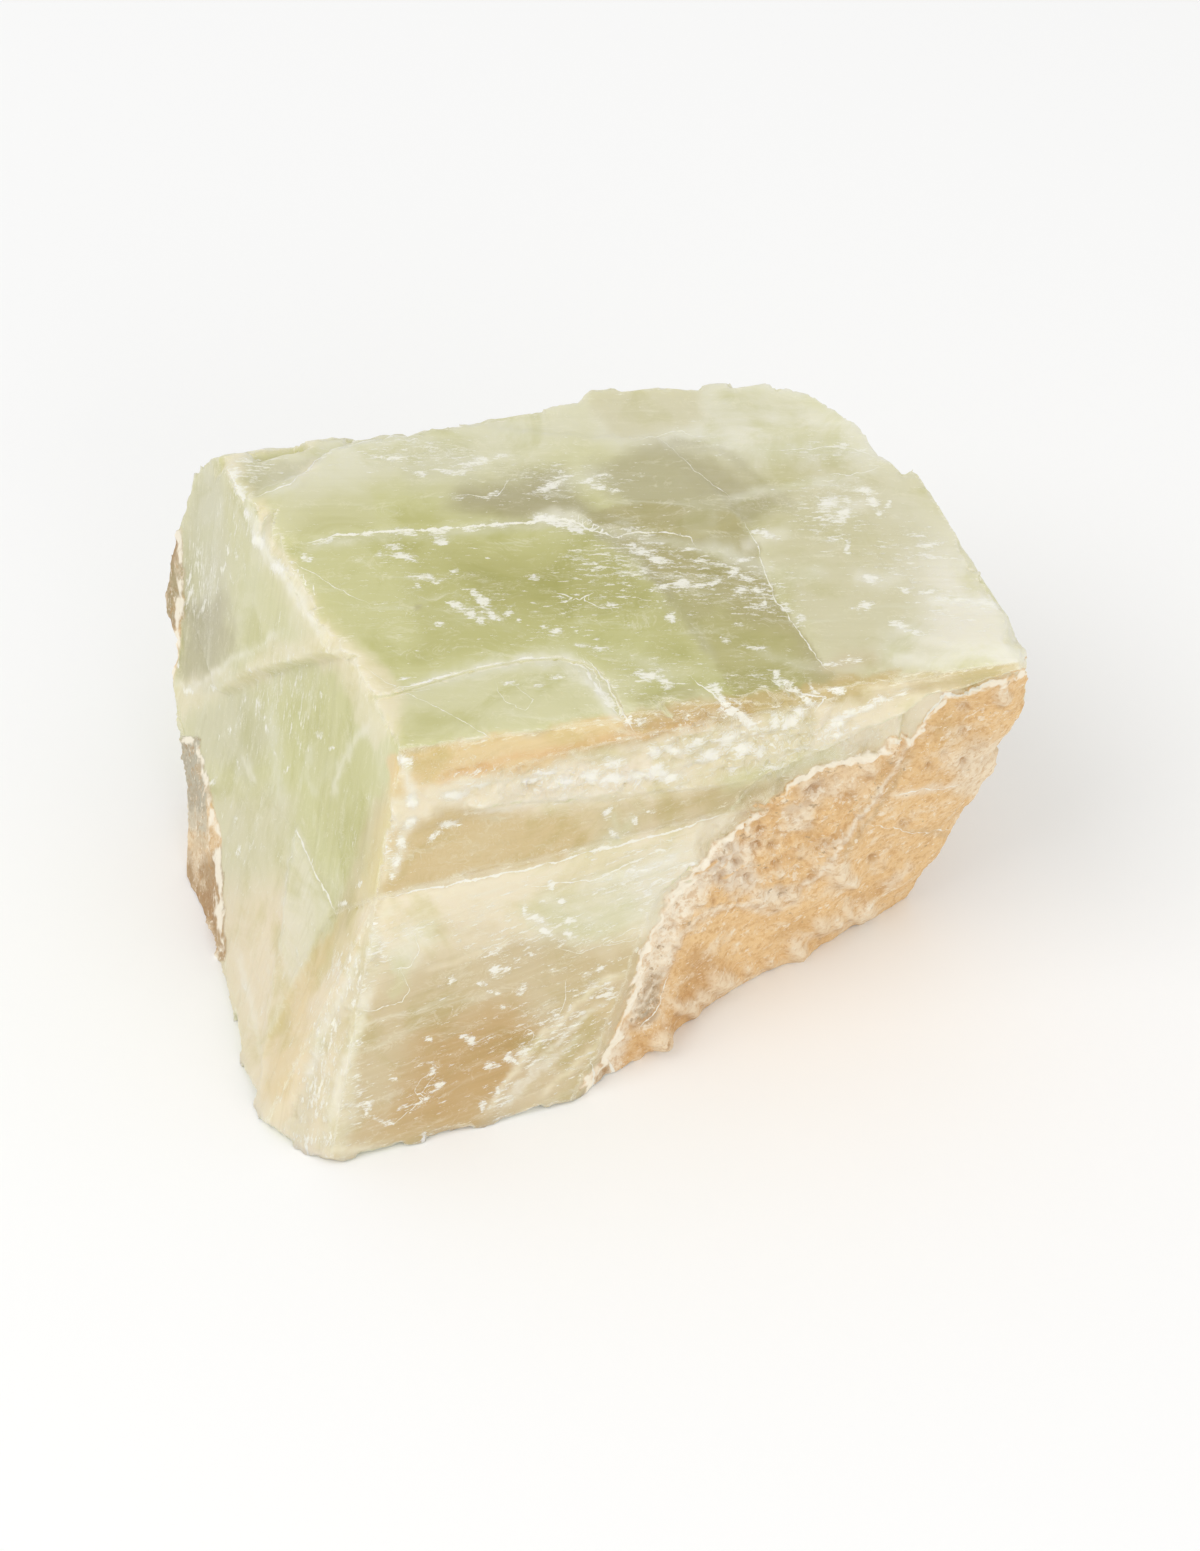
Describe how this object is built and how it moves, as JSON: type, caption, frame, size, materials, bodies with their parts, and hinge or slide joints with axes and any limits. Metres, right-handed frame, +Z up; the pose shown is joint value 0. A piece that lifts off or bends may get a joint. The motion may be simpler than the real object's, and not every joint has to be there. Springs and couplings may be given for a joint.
{
  "type": "raw calcite",
  "caption": "Raw green calcite block with skewed flat cleavage faces, a stepped ledge, broken edges and a rough ochre crust low on its right; stands on a flat base.",
  "frame": {"origin": "middle of the bounding box at the base face that the stone stands on", "axes": "+X along the long top edge at the front, +Y towards the rough back, +Z up"},
  "size_m": [0.088, 0.07, 0.048],
  "materials": {
    "calcite": "cleaved, translucent and scuffed, with a rough earthy crust"
  },
  "bodies": {
    "root": {"raw_calcite": "calcite"}
  },
  "joints": []
}
